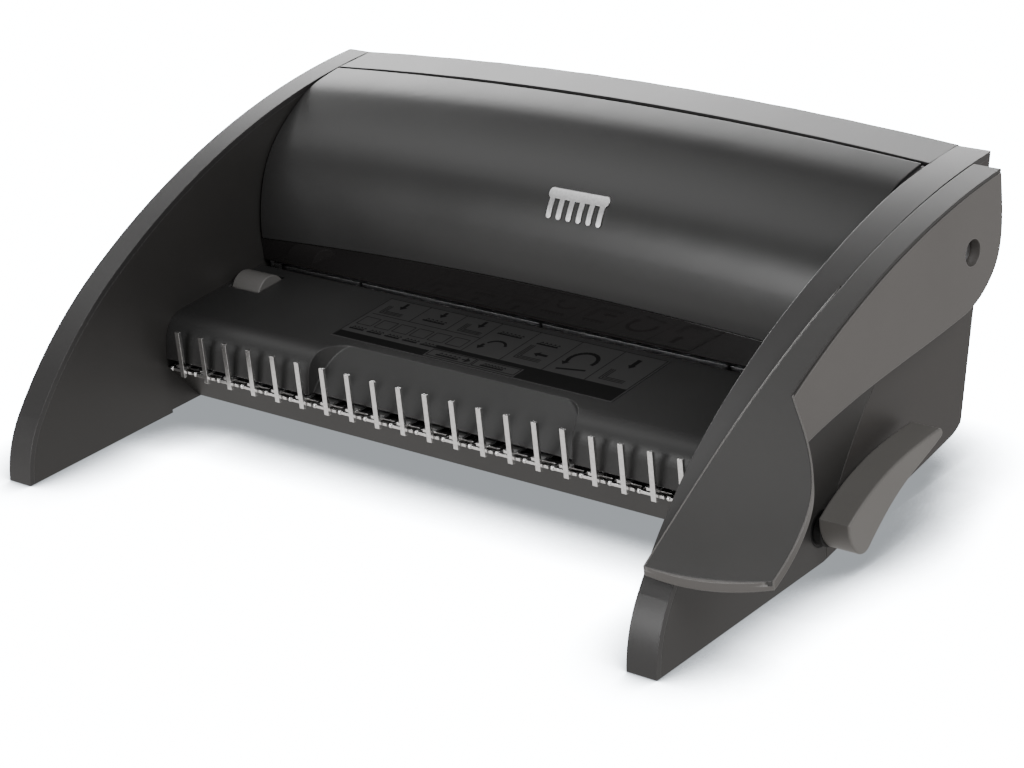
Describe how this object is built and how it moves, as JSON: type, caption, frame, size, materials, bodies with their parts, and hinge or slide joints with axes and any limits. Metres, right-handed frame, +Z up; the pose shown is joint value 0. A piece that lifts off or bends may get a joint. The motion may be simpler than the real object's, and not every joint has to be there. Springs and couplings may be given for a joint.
{
  "type": "comb binding machine",
  "caption": "Manual desktop punch and comb binder with a side punch handle, comb opening lever, upright picks, arched cover and chip drawer.",
  "frame": {"origin": "centre of the bounding box footprint, on the desk", "axes": "+X to the user's right (handle side), +Y from the user towards the back, +Z up"},
  "size_m": [0.389, 0.236, 0.1273],
  "materials": {
    "cheek_plastic": "fine satin texture",
    "casing_plastic": "fine matt texture",
    "dome_gloss": "satin gloss",
    "strip_gloss": "high gloss",
    "band_plastic": "fine satin texture",
    "deck_plastic": "satin",
    "label_film": "printed film",
    "badge_silver": "satin silver",
    "base_plastic": "fine matt texture",
    "foot_rubber": "matt",
    "zinc_steel": "zinc plated",
    "bright_steel": "nickel plated",
    "plate_steel": "dull zinc plated",
    "tool_steel": "ground",
    "spring_steel": "drawn wire",
    "bush_bronze": "sintered",
    "guide_nylon": "moulded nylon",
    "lever_grey": "satin",
    "arm_grey": "satin",
    "handle_skin": "satin",
    "wheel_grey": "satin",
    "socket_black": "matt"
  },
  "bodies": {
    "base": {"right_cheek": "cheek_plastic", "right_liner": "cheek_plastic", "right_casing": "casing_plastic", "left_cheek": "cheek_plastic", "left_casing": "casing_plastic", "dome_cover": "dome_gloss", "dome_trim": "band_plastic", "top_frame": "band_plastic", "rear_cover": "casing_plastic", "throat_strip": "strip_gloss", "deck": "deck_plastic", "instruction_label": "label_film", "badge": "badge_silver", "base_pan": "base_plastic", "rubber_feet": "foot_rubber", "base_screws": "zinc_steel", "hook_plate": "bright_steel", "slide_guides": "guide_nylon", "comb_bearings": "guide_nylon", "lever_socket": "socket_black", "die_plate": "tool_steel", "guide_plate": "tool_steel", "back_stop": "tool_steel", "punch_side_left": "zinc_steel", "punch_side_right": "zinc_steel", "shaft_bushes": "bush_bronze", "guide_posts": "zinc_steel", "return_springs": "spring_steel", "edge_brackets": "guide_nylon"},
    "handle": {"handle_shaft": "zinc_steel", "drive_cams": "tool_steel", "handle_arm": "arm_grey", "handle_paddle": "arm_grey", "handle_cover": "handle_skin", "pivot_screw": "zinc_steel"},
    "punch_bar": {"pressure_bar": "zinc_steel", "punch_pins": "tool_steel"},
    "comb_lever": {"comb_lever": "lever_grey", "lever_collar": "socket_black", "comb_shaft": "zinc_steel", "comb_cranks": "zinc_steel"},
    "pick_carriage": {"pick_plate": "plate_steel", "picks": "bright_steel", "pick_yokes": "zinc_steel"},
    "edge_wheel": {"edge_wheel": "wheel_grey", "edge_screw": "zinc_steel"},
    "edge_stop": {"edge_stop": "socket_black"},
    "chip_drawer": {"chip_tray": "casing_plastic", "tray_front": "casing_plastic"}
  },
  "joints": [
    {"name": "handle_pivot", "type": "hinge", "parent": "base", "child": "handle", "pos_m": [-0.02216, 0.077, 0.095], "axis": [-1, 0, 0], "range_deg": [0, 75]},
    {"name": "punch_stroke", "type": "slide", "parent": "base", "child": "punch_bar", "axis": [0, 0, 1], "range_m": [0, 0.00791], "deforming": ["return_springs"]},
    {"name": "comb_lever_pivot", "type": "hinge", "parent": "base", "child": "comb_lever", "pos_m": [-0.02216, -0.0135, 0.014], "axis": [1, 0, 0], "range_deg": [0, 38]},
    {"name": "pick_slide", "type": "slide", "parent": "base", "child": "pick_carriage", "axis": [0, -1, 0], "range_m": [0, 0.01496]},
    {"name": "edge_wheel_turn", "type": "hinge", "parent": "base", "child": "edge_wheel", "pos_m": [-0.02216, 0.016, 0.042], "axis": [1, 0, 0], "range_deg": [0, 180]},
    {"name": "edge_stop_slide", "type": "slide", "parent": "base", "child": "edge_stop", "axis": [1, 0, 0], "range_m": [0, 0.0088]},
    {"name": "chip_drawer_slide", "type": "slide", "parent": "base", "child": "chip_drawer", "axis": [0, 1, 0], "range_m": [0, 0.07]}
  ],
  "couplings": [
    {"joint": "punch_stroke", "follows": "handle_pivot", "m_per_rad": 0.0060458},
    {"joint": "pick_slide", "follows": "comb_lever_pivot", "m_per_rad": 0.02255},
    {"joint": "edge_stop_slide", "follows": "edge_wheel_turn", "m_per_rad": 0.0028011}
  ]
}
